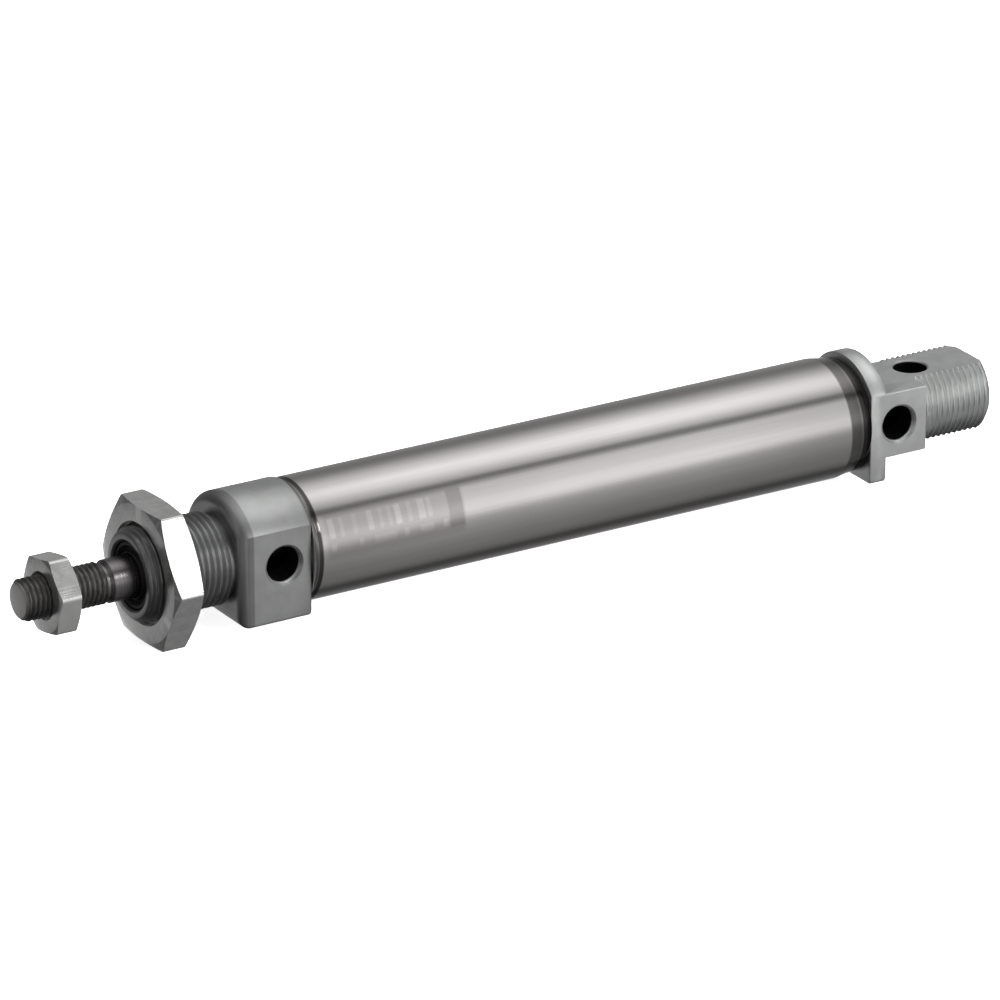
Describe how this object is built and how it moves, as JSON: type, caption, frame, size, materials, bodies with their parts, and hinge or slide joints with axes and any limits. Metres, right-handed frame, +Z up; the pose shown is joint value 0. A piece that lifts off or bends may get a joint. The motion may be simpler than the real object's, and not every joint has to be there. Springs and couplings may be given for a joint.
{
  "type": "pneumatic cylinder",
  "caption": "Round-bodied pneumatic cylinder with a sliding rod, threaded nose and rear stud, side ports, a flange nut and a rod nut.",
  "frame": {"origin": "middle of the overall length, on the cylinder axis, with the rod retracted", "axes": "+X along the cylinder axis from the rod end to the rear stud; -Y out of the two air ports; +Z up"},
  "size_m": [0.255, 0.037, 0.032],
  "materials": {
    "tube": "drawn stainless tube, satin-bright with fine lengthwise lines",
    "cover": "die-cast and machined aluminium, matt grey anodised",
    "nut": "turned steel, zinc plated",
    "rod": "ground and hard chromed steel",
    "seal": "black nitrile or polyurethane seal",
    "bush": "sintered bronze",
    "pad": "amber polyurethane bumper",
    "piston": "turned aluminium",
    "magnet": "plastic-bonded ferrite",
    "wear_ring": "filled acetal guide strip"
  },
  "bodies": {
    "barrel": {"barrel_tube": "tube", "front_cover": "cover", "rear_cover": "cover", "rod_wiper_seal": "seal", "rod_guide_bush": "bush", "front_cover_o_ring": "seal", "rear_cover_o_ring": "seal", "front_cushion_pad": "pad", "rear_cushion_pad": "pad"},
    "piston_seals": {"piston_seal_front": "seal", "piston_seal_rear": "seal", "piston_wear_ring": "wear_ring"},
    "rod": {"piston_rod": "rod", "piston_front_half": "piston", "piston_rear_half": "piston", "piston_magnet": "magnet", "piston_o_ring": "seal", "piston_fixing_nut": "nut"},
    "rod_nut": {"rod_nut": "nut"},
    "mounting_nut": {"mounting_nut": "nut"}
  },
  "joints": [
    {"name": "rod_slide", "type": "slide", "parent": "barrel", "child": "piston_seals", "axis": [-1, 0, 0], "range_m": [0, 0.1]},
    {"name": "rod_turn", "type": "hinge", "parent": "piston_seals", "child": "rod", "pos_m": [0, 0, 0], "axis": [1, 0, 0], "continuous": true},
    {"name": "rod_nut_turn", "type": "hinge", "parent": "rod", "child": "rod_nut", "pos_m": [-0.1188, 0, 0], "axis": [1, 0, 0], "continuous": true},
    {"name": "mounting_nut_turn", "type": "hinge", "parent": "barrel", "child": "mounting_nut", "pos_m": [-0.0932, 0, 0], "axis": [1, 0, 0], "continuous": true}
  ]
}
